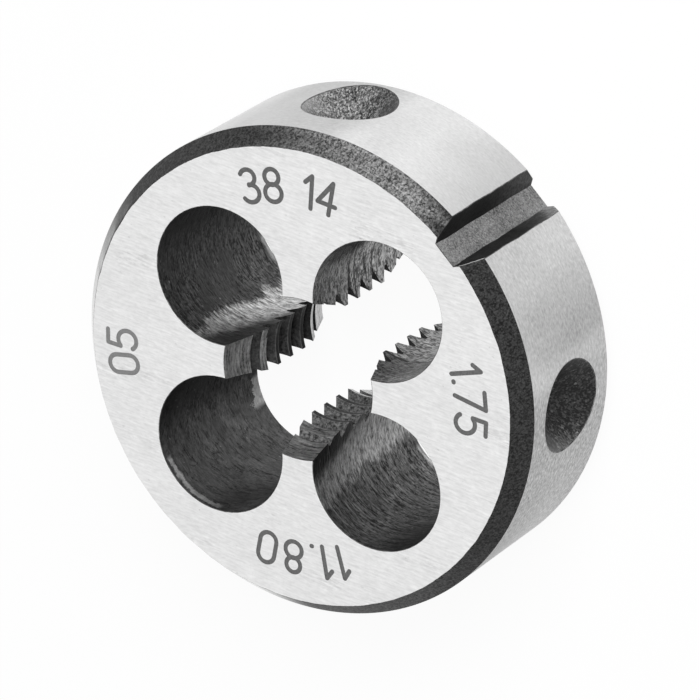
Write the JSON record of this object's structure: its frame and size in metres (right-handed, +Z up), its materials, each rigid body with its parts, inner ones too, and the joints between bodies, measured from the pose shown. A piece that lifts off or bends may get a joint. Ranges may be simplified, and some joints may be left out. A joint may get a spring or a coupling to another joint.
{
  "type": "round threading die",
  "caption": "Closed round steel die with threaded cutting lands, round chip holes, a notch down the rim and conical dimples for the die stock's screws.",
  "frame": {"origin": "on the thread axis, in the bottom face that the die lies on", "axes": "+Z up along the thread axis towards the marked face; the adjusting notch points halfway between +X and +Y; the four threaded lands lie on the X and Y axes"},
  "size_m": [0.038, 0.038, 0.014],
  "materials": {
    "hardened_steel": "bright ground faces and rim, darker machined chamfers, chip holes, notch and dimples"
  },
  "bodies": {
    "root": {"round_die": "hardened_steel"}
  },
  "joints": []
}
